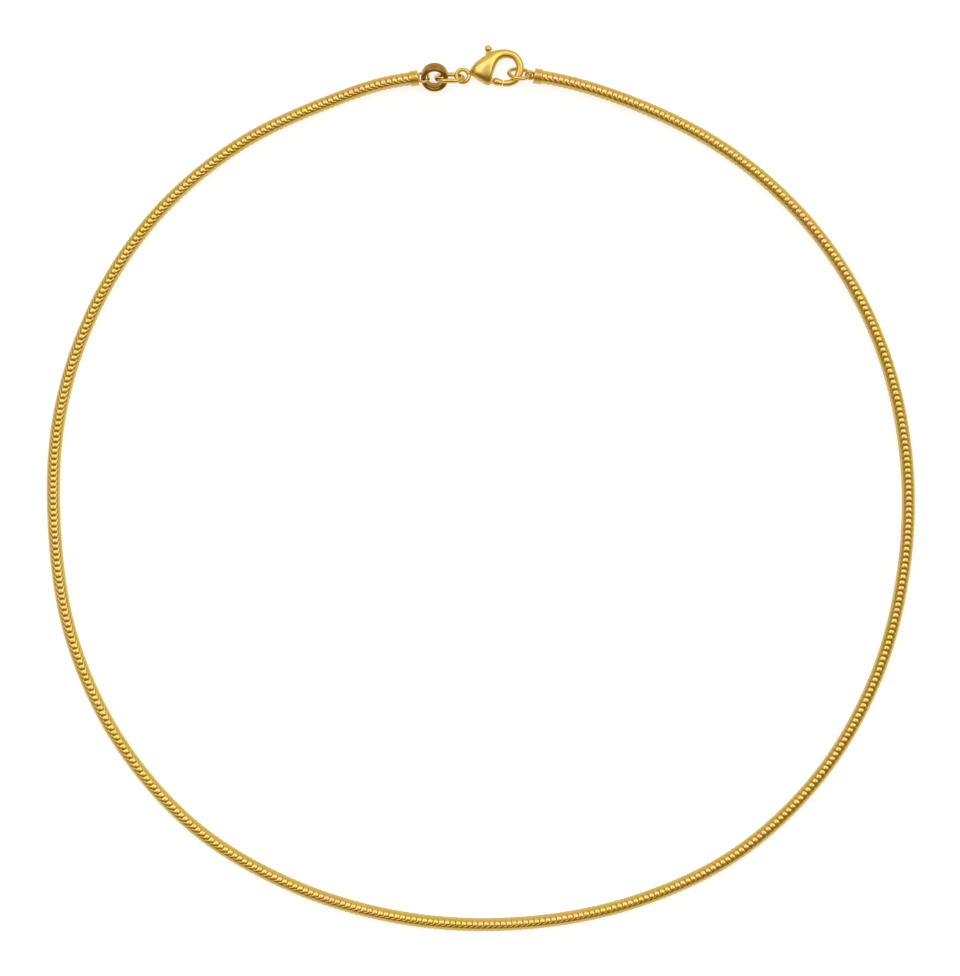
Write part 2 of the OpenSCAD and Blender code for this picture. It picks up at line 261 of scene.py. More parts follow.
class Shell:
    """A closed surface as an array of points and a list of arrays of faces."""

    def __init__(self, points, faces):
        self.points = np.asarray(points, float)
        self.faces = faces

    def moved(self, offset):
        """The shell at another place."""
        return Shell(self.points + np.asarray(offset), self.faces)

    def turned(self, degrees, axis):
        """The shell turned about an axis through the origin."""
        return Shell(turn(self.points, degrees, axis), self.faces)

    def outward(self):
        """The shell with its faces outwards: the sum over its triangles of the volume that each
        makes with the origin is positive then."""
        volume = 0.0
        for block in self.faces:
            corners = self.points[block]
            for k in range(1, block.shape[1] - 1):
                cross = np.cross(corners[:, k], corners[:, k + 1])
                volume += np.einsum("ij,ij->", corners[:, 0], cross)
        if volume >= 0:
            return self
        return Shell(self.points, [block[:, ::-1] for block in self.faces])


def skin(rings, closed=False):
    """Surface over a grid of points: a row for each cross-section, each row closed on itself. The
    rows are joined end to end if closed, and otherwise each end gets a middle point and a fan."""
    rows, sides = rings.shape[:2]
    i = np.arange(rows if closed else rows - 1)[:, None]
    j = np.arange(sides)[None, :]
    ahead = (i + 1) % rows
    beside = (j + 1) % sides
    quads = np.stack([i * sides + j, i * sides + beside, ahead * sides + beside, ahead * sides + j], -1)
    points = rings.reshape(-1, 3)
    faces = [quads.reshape(-1, 4)]
    if not closed:
        first, last = len(points), len(points) + 1
        points = np.concatenate([points, rings[:1].mean(1), rings[-1:].mean(1)])
        j = np.arange(sides)
        after = (j + 1) % sides
        base = (rows - 1) * sides
        faces.append(np.stack([after, j, np.full(sides, first)], -1))
        faces.append(np.stack([base + j, base + after, np.full(sides, last)], -1))
    return Shell(points, faces)


def around(count, start=0.0):
    """Angles of points around a circle, in radians."""
    return start + np.arange(count) * 2 * math.pi / count


def wire_along(path, wire, sides):
    """Round wire along a closed path in a flat plane: at each point of the path a circle, across the
    path's direction, of radius half the wire."""
    ahead = unit(np.roll(path, -1, 0) - np.roll(path, 1, 0))
    up = np.broadcast_to([0.0, 0.0, 1.0], ahead.shape)
    side = np.cross(up, ahead)
    a = around(sides)[None, :, None]
    circle = np.cos(a) * side[:, None, :] + np.sin(a) * up[:, None, :]
    return skin(path[:, None, :] + wire / 2 * circle, closed=True).outward()


def ring(radius, wire, count=96, sides=32):
    """Round ring about Z: wire along a circle."""
    a = around(count)
    path = radius * np.stack([np.cos(a), np.sin(a), np.zeros(count)], -1)
    return wire_along(path, wire, sides)


def oval_ring(half, radius, wire, count=96, sides=32):
    """Oval ring that is longer along X: wire along two half circles, whose middles lie half either
    way from the middle, and the straight stretches between them."""
    a = np.linspace(-math.pi / 2, math.pi / 2, count // 2)
    bend = np.stack([half + radius * np.cos(a), radius * np.sin(a), np.zeros_like(a)], -1)
    straight = np.linspace(half, -half, 8)[1:-1]
    run = np.stack([straight, np.full_like(straight, radius), np.zeros_like(straight)], -1)
    one_side = np.concatenate([bend, run])
    return wire_along(np.concatenate([one_side, one_side * [-1, -1, 1]]), wire, sides)


def band_ring(diameter, width, thickness, count=120, sides=40):
    """Band bent to a ring about Z: around a circle, a cross-section of two half circles of the
    band's thickness, whose middles lie as far apart as its width leaves."""
    half = (width - thickness) / 2
    a = around(count)[:, None]
    b = around(sides, math.pi / sides)[None, :]
    radius = (diameter - thickness) / 2 + thickness / 2 * np.cos(b)
    height = thickness / 2 * np.sin(b) + half * np.sign(np.sin(b))
    return skin(np.stack(np.broadcast_arrays(radius * np.cos(a), radius * np.sin(a), height), -1),
                closed=True).outward()


def lathe(profile, sides=64):
    """Profile of rows (distance along X, radius) turned about the X axis."""
    profile = np.asarray(profile, float)
    a = around(sides)
    circle = np.stack([np.zeros(sides), np.cos(a), np.sin(a)], -1)
    along = profile[:, None, :1] * np.array([1.0, 0.0, 0.0])
    return skin(along + profile[:, None, 1:] * circle).outward()


def arc(middle, radius, start, end, count=7):
    """Points on an arc of a profile, between two angles in degrees."""
    a = np.radians(np.linspace(start, end, count))
    return np.stack([middle[0] + radius * np.cos(a), middle[1] + radius * np.sin(a)], -1)


def mesh_object(name, shell):
    """A Blender object that holds a shell, smooth all over."""
    mesh = bpy.data.meshes.new(name)
    faces = [face for block in shell.faces for face in block.tolist()]
    mesh.from_pydata(shell.points.tolist(), [], faces)
    mesh.polygons.foreach_set("use_smooth", np.ones(len(mesh.polygons), bool))
    mesh.update()
    obj = bpy.data.objects.new(name, mesh)
    bpy.context.scene.collection.objects.link(obj)
    return obj


def combined(obj, *steps):
    """An object after solid unions, differences and intersections with shells, given as pairs of
    the operation and the shell."""
    tools = []
    for operation, shell in steps:
        tool = mesh_object("tool", shell)
        change = obj.modifiers.new(operation, "BOOLEAN")
        change.operation = operation
        change.solver = "EXACT"
        change.object = tool
        tools.append(tool)
    ready = obj.evaluated_get(bpy.context.evaluated_depsgraph_get())
    mesh = bpy.data.meshes.new_from_object(ready)
    old = obj.data
    obj.modifiers.clear()
    obj.data = mesh
    bpy.data.meshes.remove(old)
    mesh.name = obj.name
    for tool in tools:
        bpy.data.meshes.remove(tool.data)
    if not len(mesh.polygons):
        raise RuntimeError(f"{obj.name} has no faces left")
    return obj


def finished(obj, material, body, slot, *nodes, sharp=35):
    """The object with its material and its sharp edges, riding on a body in place of CAD nodes."""
    obj.data.polygons.foreach_set("use_smooth", np.ones(len(obj.data.polygons), bool))
    if sharp:
        obj.data.set_sharp_from_angle(angle=math.radians(sharp))
    obj.data.materials.clear()
    obj.data.materials.append(material)
    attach(obj, body)
    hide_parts(*nodes)
    return obj


class Socket:
    """A node's output, so that shader maths is written as arithmetic."""

    def __init__(self, shader, output):
        self.shader = shader
        self.output = output

    def __add__(self, other):
        return self.shader.maths("ADD", self, other)

    def __radd__(self, other):
        return self.shader.maths("ADD", other, self)

    def __sub__(self, other):
        return self.shader.maths("SUBTRACT", self, other)

    def __mul__(self, other):
        return self.shader.maths("MULTIPLY", self, other)

    def __rmul__(self, other):
        return self.shader.maths("MULTIPLY", other, self)

    def __truediv__(self, other):
        return self.shader.maths("DIVIDE", self, other)


class Shader:
    """The nodes of one material or of the world."""

    def __init__(self, tree):
        self.tree = tree
        tree.nodes.clear()

    def node(self, kind, settings=None, sockets=None, out=0):
        """A node of a type, with its settings, and then the values or links of its sockets."""
        made = self.tree.nodes.new(kind)
        for name, value in (settings or {}).items():
            if name == "stops":
                ramp = made.color_ramp.elements
                while len(ramp) < len(value):
                    ramp.new(0.5)
                for stop, (place, colour) in zip(ramp, value):
                    stop.position = place
                    stop.color = (*colour, 1)
            else:
                setattr(made, name, value)
        for name, value in (sockets or {}).items():
            if isinstance(value, Socket):
                self.tree.links.new(value.output, made.inputs[name])
            else:
                made.inputs[name].default_value = value
        return Socket(self, made.outputs[out]) if len(made.outputs) else made

    def maths(self, operation, first, second=0.0):
        """A Math node."""
        return self.node("ShaderNodeMath", {"operation": operation}, {0: first, 1: second})

    def step(self, value, start, end):
        """0 before start, 1 after end, and smooth between them."""
        sockets = {"Value": value, "From Min": start, "From Max": end}
        return self.node("ShaderNodeMapRange", {"interpolation_type": "SMOOTHSTEP"}, sockets)

    def mix(self, factor, first, second):
        """A colour between two colours."""
        settings = {"data_type": "RGBA", "clamp_factor": True}
        return self.node("ShaderNodeMix", settings, {0: factor, 6: first, 7: second}, out=2)

    def attribute(self, name):
        """A value that the mesh carries."""
        return self.node("ShaderNodeAttribute", {"attribute_name": name}, out=2)

    def noise(self, scale, detail=3.0, roughness=0.5, stretch=(1, 1, 1)):
        """Noise over the object, from about 0.3 to about 0.7."""
        place = self.node("ShaderNodeTexCoord", out=3)
        mapped = self.node("ShaderNodeMapping", {}, {"Vector": place, "Scale": stretch})
        sockets = {"Vector": mapped, "Scale": scale, "Detail": detail, "Roughness": roughness}
        return self.node("ShaderNodeTexNoise", {}, sockets)


def rgba(colour, share=1.0):
    """A colour with its alpha, at a share of its brightness."""
    return (*(share * channel for channel in colour), 1.0)


def metal(shader, colour, roughness, bumps):
    """The metal itself: its colour, its roughness and its fine relief, which is a height in
    metres."""
    relief = shader.node("ShaderNodeBump", {}, {"Strength": 1.0, "Distance": 1.0, "Height": bumps})
    surface = shader.node("ShaderNodeBsdfPrincipled", {}, {
        "Base Color": colour, "Metallic": 1.0, "Roughness": roughness, "Normal": relief})
    shader.node("ShaderNodeOutputMaterial", {}, {"Surface": surface})


def new_material(name):
    """A material and its nodes."""
    material = bpy.data.materials.new(name)
    material.use_nodes = True
    return material, Shader(material.node_tree)


# Scales of the noises in the plate: clouds of colour on the chain and on cast pieces, patches of
# green gold, and the scratches and hairlines, each with its depth in metres
CHAIN_CLOUDS = 900.0
CAST_CLOUDS = 700.0
GREEN_PATCHES = 260.0
SCRATCHES = 9000.0
SCRATCH_DEPTH = 0.000003
HAIRLINES = 6000.0
HAIRLINE_DEPTH = 0.0000008
# Share of green gold in a cast piece's plate
GREEN_SHARE = 0.35


def chain_gold(finish):
    """Plate of the chain: its colour drifts from rib to rib between green and red gold, and it is
    darker and duller in the grooves, the darkening partly tarnish and partly painted shade."""
    material, shader = new_material("chain_gold")
    tint = shader.attribute("tint")
    groove = shader.attribute("groove")
    cloud = shader.noise(CHAIN_CLOUDS, 2.0)
    hue = tint + 0.3 * (cloud - 0.5)
    warm = shader.step(hue, 0.5, 1.0)
    cool = shader.step(hue, 0.5, 0.0)
    colour = shader.mix(warm, rgba(finish.gold), rgba(finish.red_gold))
    colour = shader.mix(cool, colour, rgba(finish.green_gold))
    # Painted shade: grooves and valleys darken towards this colour, partly tarnish and partly the shade
    # that falls in them
    colour = shader.mix(shader.step(groove, 0.40, 1.0) * 0.8, colour, rgba(finish.groove_tarnish_and_shade))
    scratch = shader.noise(SCRATCHES, 2.0, 0.6)
    roughness = finish.roughness + 0.03 + 0.10 * (cloud - 0.5) + 0.2 * groove * groove
    metal(shader, colour, roughness, SCRATCH_DEPTH * scratch)
    return material


def cast_gold(name, finish, roughness, depth, shade_share=0.0):
    """Plate of a cast or bent piece: clouds of warmer and cooler gold, shares of green gold and of
    painted shade that darkens the piece, a faint waviness from polishing, and fine hairlines."""
    material, shader = new_material(name)
    cloud = shader.noise(CAST_CLOUDS, 3.0, 0.55)
    patches = shader.noise(GREEN_PATCHES, 1.0)
    hairline = shader.noise(HAIRLINES, 2.0, 0.6, (1, 6, 1))
    warm = shader.step(cloud, 0.35, 0.7) * (1 - GREEN_SHARE)
    colour = shader.mix(warm, rgba(finish.gold), rgba(finish.red_gold))
    cool = GREEN_SHARE * (0.6 + 0.8 * shader.step(patches, 0.40, 0.65))
    colour = shader.mix(cool, colour, rgba(finish.green_gold))
    # Painted shade: a darker colour laid over the whole piece in clouds, in place of dark reflections
    if shade_share:
        colour = shader.mix(shade_share * (0.6 + 0.8 * cloud), colour, rgba(finish.ring_painted_shade))
    rough = roughness + 0.12 * (cloud - 0.5) + 0.06 * (hairline - 0.5)
    metal(shader, colour, rough, depth * cloud + HAIRLINE_DEPTH * hairline)
    return material


def mouth_of(loop_at, loop_bore, degrees):
    """Where the chain enters a cap, from the middle of the cap's loop."""
    caps = bpy.context.scene.necklace_caps
    return loop_at + (loop_bore / 2 + caps.loop_wire / 2 + caps.end + caps.depth) * heading(degrees)


def cap_places():
    """For each end of the chain: middle of the cap's loop, the loop's bore, and its heading."""
    rings = bpy.context.scene.necklace_rings
    left_r = (rings.left_diameter - rings.left_thickness) / 2
    right_r = (rings.right_diameter - rings.right_wire) / 2
    left_at = middle_of("ring_left") - [left_r, 0, 0]
    right_at = middle_of("ring_right") + right_r * heading(RING_RIGHT_TURN)
    return ((left_at, rings.left_thickness + 4 * rings.gap, LEFT_HEADING),
            (right_at, rings.right_wire + 2 * rings.gap, RIGHT_HEADING))


def chain_line():
    """The chain's centreline as close points: a smooth curve through the route's points, which
    leaves each cap along its heading and never sinks below half the chain's thickness, with a
    straight end in each cup."""
    sizes = bpy.context.scene.necklace_chain
    caps = bpy.context.scene.necklace_caps
    row_y = middle_of("ring_left")[1] - RING_LEFT_RISE
    loop_mid = np.array([LOOP_X, row_y - ROW_SHARE * sizes.loop_radius, 0.0])
    angle, share = np.array(CHAIN_ROUTE, float).T
    out = np.stack([np.cos(np.radians(angle)), np.sin(np.radians(angle)), np.zeros(len(angle))], -1)
    route = loop_mid + sizes.loop_radius * share[:, None] * out + [0, 0, sizes.diameter / 2]
    left, right = (mouth_of(*place) for place in cap_places())
    before = route[0] - 2 * np.linalg.norm(route[0] - left) * heading(LEFT_HEADING)
    after = route[-1] - 2 * np.linalg.norm(route[-1] - right) * heading(RIGHT_HEADING)
    rows = np.concatenate([[before, left], route, [right, after]])
    line = smooth_rows(rows, np.linspace(1, len(rows) - 2, LINE_STEPS * len(rows)))
    line[:, 2] = np.maximum(line[:, 2], sizes.diameter / 2)
    seat = caps.depth - caps.gap
    ends = [left - seat * heading(LEFT_HEADING), right - seat * heading(RIGHT_HEADING)]
    return np.concatenate([ends[:1], line, ends[1:]])


# Places of the cross-sections within a rib, as shares of its pitch: close at the groove, which is
# at 0, and wide over the crest
RIB_ROWS = np.array([0.0, 0.08, 0.22, 0.4, 0.6, 0.78, 0.92])
# How round a rib's back is: 0 is a shallow bow, 1 a half circle
RIB_ROUNDNESS = 0.75
# How softly a rib's edge goes from one row of beads to the next: 0 is a sudden step
WAVE_SOFTNESS = 0.03
# How narrow the valley beside a row of beads is, and how deep the grooves between the rows are as a
# share of those in them
VALLEY_WIDTH = 0.3
PLAIN_SHARE = 0.55
# Points of the centreline between two points of its route
LINE_STEPS = 60
# How many ribs a drift of the plate's colour takes, and its share beside each bead's own colour
PATCH_RIBS = 5
PATCH_SHARE = 0.65
# How dull and how dark (painted shade) a valley is beside a groove, and the part of a groove's depth that
# counts as its bottom
VALLEY_DULLNESS = 0.75
GROOVE_BOTTOM = 0.999


def drift(rng, count, reach):
    """Random values along the chain that change over about reach ribs, from 0 to 1."""
    knots = rng.random(count // reach + 3)
    place = np.arange(count + 1) / reach
    t = place - np.floor(place)
    i = np.floor(place).astype(int)
    t = t * t * (3 - 2 * t)
    return knots[i] * (1 - t) + knots[i + 1] * t


def build_chain():
    """Ribs along the centreline, whose grooves are deep in a few rows of beads and shallow between
    them. A point at rib number u and angle a from the top of the chain lies at distance u times
    the pitch along the line, plus the wave times the softened square wave of the rows times a, so
    that a rib's edge steps at each side of a row. Its radius is half the diameter, less the larger
    of two cuts: the groove's depth times a circle's arc across the rib, whole in a row and a share
    of it beside one, and the valley's depth where the square wave changes sign. Each bead's back is
    also lower by a random part of the jitter. The chain is two pieces that meet in a groove."""
    sizes = bpy.context.scene.necklace_chain
    line = chain_line()
    along = np.concatenate([[0], np.cumsum(np.linalg.norm(np.diff(line, axis=0), axis=1))])
    total = along[-1]
    count = round(total / sizes.rib_pitch)
    pitch = total / count
    u = np.append((np.arange(count)[:, None] + RIB_ROWS).ravel(), count)
    a = around(sizes.sides, math.pi / sizes.sides)
    rng = np.random.default_rng(7)
    ribs = np.arange(count + 1)
    tilt = sizes.jitter * np.interp(u, ribs, rng.normal(size=count + 1))
    tilt_way = np.interp(u, ribs, rng.random(count + 1) * math.pi)

    ahead = unit(np.gradient(line, along, axis=0))
    way = unit(np.stack([np.interp(u * pitch, along, ahead[:, k]) for k in range(3)], -1))
    lean_back = sizes.roll * np.cross([0.0, 0.0, 1.0], way)[:, 1]
    angle = a[None, :] - math.pi / 2 + lean_back[:, None]
    fold = np.cos(sizes.rows * angle)
    wave = fold * np.sqrt((1 + WAVE_SOFTNESS) / (fold ** 2 + WAVE_SOFTNESS))
    valley = 1 / (1 + (fold / VALLEY_WIDTH) ** 2)
    lean = tilt[:, None] * np.cos(a[None, :] - tilt_way[:, None])
    s = np.clip(u[:, None] * pitch + sizes.wave * wave + lean, 0, total)
    s[0], s[-1] = 0, total
    across = 2 * (u - np.floor(u)) - 1
    bow = 1 - np.sqrt(1 - (RIB_ROUNDNESS * across) ** 2)
    drop = (bow / (1 - math.sqrt(1 - RIB_ROUNDNESS ** 2)))[:, None]
    cut = drop * (PLAIN_SHARE + (1 - PLAIN_SHARE) * (0.5 + 0.5 * wave))
    rib = np.floor(u).astype(int)[:, None]
    row = np.round(angle * sizes.rows / math.pi).astype(int) % (2 * sizes.rows)
    swell = sizes.jitter * rng.random((count + 1, 2 * sizes.rows))[rib, row]
    radius = (sizes.diameter / 2 - swell * (1 - drop) * (1 - valley)
              - np.maximum(sizes.groove_depth * cut, sizes.valley * valley))

    place = np.stack([np.interp(s, along, line[:, k]) for k in range(3)], -1)
    ahead = unit(np.stack([np.interp(s, along, ahead[:, k]) for k in range(3)], -1))
    side = unit(np.cross([0.0, 0.0, 1.0], ahead))
    up = np.cross(ahead, side)
    round_it = np.cos(a)[None, :, None] * side + np.sin(a)[None, :, None] * up
    points = place + radius[..., None] * round_it

    patches = np.stack([drift(rng, count, PATCH_RIBS) for _ in range(2 * sizes.rows)], -1)
    own = rng.random((count + 1, 2 * sizes.rows))
    hue = PATCH_SHARE * patches + (1 - PATCH_SHARE) * own
    tint = hue[rib, row]
    # How deep a point lies in a groove or valley: this sets the painted shade there, and the dullness
    groove = np.maximum(cut, VALLEY_DULLNESS * valley)
    middle = len(RIB_ROWS) * (count // 2)
    pieces = []
    for name, part in (("snake_chain_left", slice(0, middle + 1)),
                       ("snake_chain_right", slice(middle, None))):
        obj = mesh_object(name, skin(points[part]).outward())
        for field, values in (("tint", tint[part].ravel()), ("groove", groove[part].ravel())):
            attribute = obj.data.attributes.new(field, "FLOAT", "POINT")
            attribute.data.foreach_set("value", np.append(values, [values[0], values[-1]]))
        edges = np.zeros(2 * len(obj.data.edges), np.int32)
        obj.data.edges.foreach_get("vertices", edges)
        in_groove = np.repeat(drop[part, 0] > GROOVE_BOTTOM, sizes.sides)
        in_groove = np.append(in_groove, [False, False])
        sharp = obj.data.attributes.new("sharp_edge", "BOOLEAN", "EDGE")
        sharp.data.foreach_set("value", in_groove[edges.reshape(-1, 2)].all(1))
        pieces.append(obj)
    return pieces


# A groove around a cap: place along the cap and height over its side, in shares of its wall
CAP_GROOVE = [(-0.8, 0.0), (-0.25, -0.5), (0.25, -0.5), (0.8, 0.0)]
# Roundings of a cap: of its closed end in shares of that end's thickness, and of its lip in shares
# of its wall
CAP_EDGE = 0.45
CAP_LIP = 0.3
# The cone of solder: how far it goes over the loop's wire, and its radius there and at the cap, in
# shares of that wire
SOLDER_REACH = 0.2
SOLDER_RADII = (0.3, 0.75)
# Where the grooves lie, from the cap's mouth in shares of its depth
CAP_GROOVE_PLACES = [0.95, 0.62, 0.29]


def build_cap(bore, stretch, roll):
    """Cup with rounded edges and three shallow grooves turned from a profile, and the loop soldered
    to its closed end with a small cone of solder. The loop's middle is at the origin, its straight
    sides are twice the stretch long, and the cup opens along +X."""
    sizes = bpy.context.scene.necklace_caps
    chain = bpy.context.scene.necklace_chain
    inner = chain.diameter / 2 + sizes.gap
    outer = inner + sizes.wall
    start = (bore + sizes.loop_wire) / 2
    cone = start - sizes.loop_wire * SOLDER_REACH
    edge = sizes.end * CAP_EDGE
    lip = sizes.wall * CAP_LIP
    mouth = start + sizes.end + sizes.depth
    groove = sizes.wall * np.array(CAP_GROOVE)
    places = mouth - sizes.depth * np.array(CAP_GROOVE_PLACES)
    middles = np.column_stack([places, np.full(len(places), outer)])
    grooves = (middles[:, None] + groove).reshape(-1, 2)
    profile = np.concatenate([
        [(cone, NEAR_AXIS), (cone, sizes.loop_wire * SOLDER_RADII[0])],
        [(start, sizes.loop_wire * SOLDER_RADII[1])],
        arc((start + edge, outer - edge), edge, 180, 90),
        grooves,
        arc((mouth - lip, outer - lip), lip, 90, 0, 4),
        arc((mouth - lip, inner + lip), lip, 0, -90, 4),
        [(start + sizes.end, inner), (start + sizes.end, NEAR_AXIS)]])
    cup = mesh_object("cap", lathe(profile))
    if stretch:
        loop = oval_ring(stretch, start, sizes.loop_wire).turned(90, "Z")
    else:
        loop = ring(start, sizes.loop_wire)
    return combined(cup, ("UNION", loop.turned(roll, "X")))


def place_object(obj, degrees, offset):
    """Turns an object's mesh about Z and moves it, and leaves the object at the origin."""
    matrix = Matrix.Rotation(math.radians(degrees), 4, "Z")
    matrix.translation = offset
    obj.data.transform(matrix)
    obj.data.update()
    return obj


def pin_from_eye(sizes):
    """Where the lever's pin is, from the middle of the clasp's eye."""
    return np.array([sizes.length * PIVOT_SHARE[0], sizes.height * PIVOT_SHARE[1], 0.0])


def clasp_sections(sizes, at, sides):
    """Cross-sections of the clasp: superellipses whose middle, direction, width and thickness
    follow the table, and which end at the nose."""
    nose_gap = bpy.context.scene.necklace_rings.gap
    nose = pin_from_eye(sizes) + (sizes.gate_reach + nose_gap) * heading(GATE_HEADING)
    table = np.array(CLASP_SECTIONS, float)
    rows = np.stack([
        table[:, 0] * sizes.length,
        table[:, 1] * sizes.height,
        table[:, 2],
        sizes.hook_wire + (sizes.body_width - sizes.hook_wire) * table[:, 3],
        sizes.hook_wire + (sizes.body_thickness - sizes.hook_wire) * table[:, 4]], -1)
    nose_sizes = sizes.hook_wire * np.array(NOSE_SHARES)
    nose_row = [nose[0], nose[1], GATE_HEADING - 90, *nose_sizes]
    rows = np.concatenate([rows, [nose_row]])
    x, y, way, wide, thick = smooth_rows(rows, at * (len(rows) - 1)).T[:, :, None]
    a = around(sides)[None, :]
    c = np.sign(np.cos(a)) * np.abs(np.cos(a)) ** (2 / CLASP_POWER)
    s = np.sign(np.sin(a)) * np.abs(np.sin(a)) ** (2 / CLASP_POWER)
    way = np.radians(way)
    return np.stack([
        x + wide / 2 * c * np.cos(way),
        y + wide / 2 * c * np.sin(way),
        thick / 2 * s], -1)


def claw_shell(sizes, count=150, sides=64):
    """The clasp's claw without its eye, slot and bore: a skin over its cross-sections."""
    return skin(clasp_sections(sizes, np.linspace(0, 1, count), sides)).outward()


# How far the slot reaches, in shares of the knob's reach
SLOT_REACH = 1.1
# Where the gate's sweep starts, and how far the slot goes past its end, in degrees
GATE_SWEEP_START = 240
GATE_SWEEP_ROOM = 30


def slot_shell(sizes, travel):
    """Slot for the lever: a flat block whose edge, seen from the pin, is the furthest of the hub's
    circle, the arm's parallel sides at both ends of its travel, the arm's sweep between them and
    the gate's sweep."""
    thick = sizes.plate + 2 * sizes.slot_gap
    reach = sizes.knob_reach * SLOT_REACH
    room = (sizes.arm + 3 * sizes.slot_gap) / 2
    tiny = 1e-3
    angle = np.arange(0, 360, 0.5)
    edge = np.full(len(angle), sizes.hub / 2 + 1.5 * sizes.slot_gap)
    for way in (KNOB_HEADING, KNOB_HEADING + travel):
        off = np.radians((angle - way + 180) % 360 - 180)
        beside = room / np.maximum(np.abs(np.sin(off)), tiny)
        ahead = reach / np.maximum(np.cos(off), tiny)
        edge = np.maximum(edge, np.where(np.cos(off) > 0, np.minimum(beside, ahead), 0))
    swept = (angle >= KNOB_HEADING) & (angle <= KNOB_HEADING + travel)
    edge = np.where(swept, reach, edge)
    gate_side = (angle >= GATE_SWEEP_START) | (angle <= travel + GATE_HEADING + GATE_SWEEP_ROOM)
    edge = np.where(gate_side, np.maximum(edge, sizes.gate_reach), edge)
    outline = edge[:, None] * np.stack([np.cos(np.radians(angle)), np.sin(np.radians(angle))], -1)
    low = np.column_stack([outline, np.full(len(angle), -thick / 2)])
    high = np.column_stack([outline, np.full(len(angle), thick / 2)])
    block = skin(np.stack([low, high]))
    block.points[-2:, :2] = 0
    return block.outward()


def pin_shell(diameter, height, sides=48):
    """Upright cylinder about the origin."""
    half = height / 2
    return lathe([(-half, NEAR_AXIS), (-half, diameter / 2), (half, diameter / 2), (half, NEAR_AXIS)],
                 sides).turned(90, "Y")


def plate_shell(outline, thick):
    """Flat block under an outline in the plane of the floor, with a small bevel all round."""
    outline = np.asarray(outline, float)
    middle = outline.mean(0)
    bevel = thick * PLATE_BEVEL
    shrink = 1 - bevel / np.linalg.norm(outline - middle, axis=1, keepdims=True).mean()
    inner = middle + (outline - middle) * shrink
    levels = ((inner, -thick / 2), (outline, bevel - thick / 2), (outline, thick / 2 - bevel),
              (inner, thick / 2))
    rings = np.stack([np.column_stack([o, np.full(len(o), z)]) for o, z in levels])
    return skin(rings).outward()


def build_lever(sizes):
    """The lever about its pin: hub, arm, knob and round gate, joined to one casting."""
    arm_way = heading(KNOB_HEADING)
    arm_side = heading(KNOB_HEADING - 90) * sizes.arm / 2
    knob_at = sizes.knob_reach * arm_way
    a = around(64)
    hub = plate_shell(sizes.hub / 2 * np.stack([np.cos(a), np.sin(a)], -1), sizes.plate)
    t = np.linspace(0, 1, 12)[:, None]
    right = arm_side + t * knob_at
    left = -arm_side + t[::-1] * knob_at
    arm = plate_shell(np.concatenate([right, left])[:, :2], sizes.plate)
    root_at = sizes.gate_reach * np.array([*GATE_ROOT_SHARE, 0.0])
    tip_at = sizes.gate_reach * heading(GATE_HEADING)
    web = np.array([
        (0, sizes.hub * WEB_AT_HUB[0]), (root_at[0], root_at[1] - sizes.gate * WEB_AT_GATE),
        (root_at[0], root_at[1] + sizes.gate * WEB_AT_GATE), (0, sizes.hub * WEB_AT_HUB[1])])
    web = plate_shell(np.concatenate([web[k] + t * (web[(k + 1) % 4] - web[k]) for k in range(4)]),
                      sizes.plate * WEB_THICKNESS)
    run = tip_at - root_at
    gate_length = np.linalg.norm(run)
    gate_r = sizes.gate / 2
    tip_r = sizes.gate_tip / 2
    bevel = tip_r * TIP_BEVEL
    profile = np.concatenate([
        [(-gate_r, NEAR_AXIS)],
        arc((0, 0), gate_r, 180, 90, 12)[1:],
        arc((gate_length - bevel, tip_r - bevel), bevel, 90, 0, 5),
        [(gate_length, NEAR_AXIS)]])
    gate = lathe(profile, 48).turned(math.degrees(math.atan2(run[1], run[0])), "Z").moved(root_at)
    ball = arc((0, 0), sizes.knob / 2, 180, 0, 25)
    ball[[0, -1], 1] = NEAR_AXIS
    knob = lathe(ball, 48).moved(knob_at)
    obj = mesh_object("clasp_lever_gold", hub)
    bore = pin_shell(sizes.pin_diameter + 2 * sizes.pin_gap, 4 * sizes.plate)
    return combined(obj, ("UNION", arm), ("UNION", web), ("UNION", gate), ("UNION", knob),
                    ("DIFFERENCE", bore))


class NECKLACE_OT_chain(bpy.types.Operator):
    """Make the ribbed chain"""
    bl_idname = "necklace.chain"
    bl_label = "Snake chain"

    def execute(self, context):
        material = chain_gold(context.scene.necklace_finish)
        for obj in build_chain():
            finished(obj, material, NECKLACE, "chain_gold", "chain", sharp=0)
        return {"FINISHED"}


class NECKLACE_OT_caps(bpy.types.Operator):
    """Make the two cups on the chain's ends"""
    bl_idname = "necklace.caps"
    bl_label = "End caps"

    def execute(self, context):
        finish = context.scene.necklace_finish
        material = cast_gold("cap_gold", finish, finish.roughness + 0.08, depth=0.000004)
        rings = context.scene.necklace_rings
        stretches = ((rings.left_width - rings.left_thickness) / 2, 0)
        rolls = (-(90 + RING_LEFT_TILT), 90 + RING_RIGHT_TILT)
        for side, (at, bore, way), stretch, roll in zip(
                ("left", "right"), cap_places(), stretches, rolls):
            obj = place_object(build_cap(bore, stretch, roll), way, at)
            obj.name = f"end_cap_{side}_gold"
            finished(obj, material, NECKLACE, "cap_gold", f"end_cap_{side}")
        return {"FINISHED"}


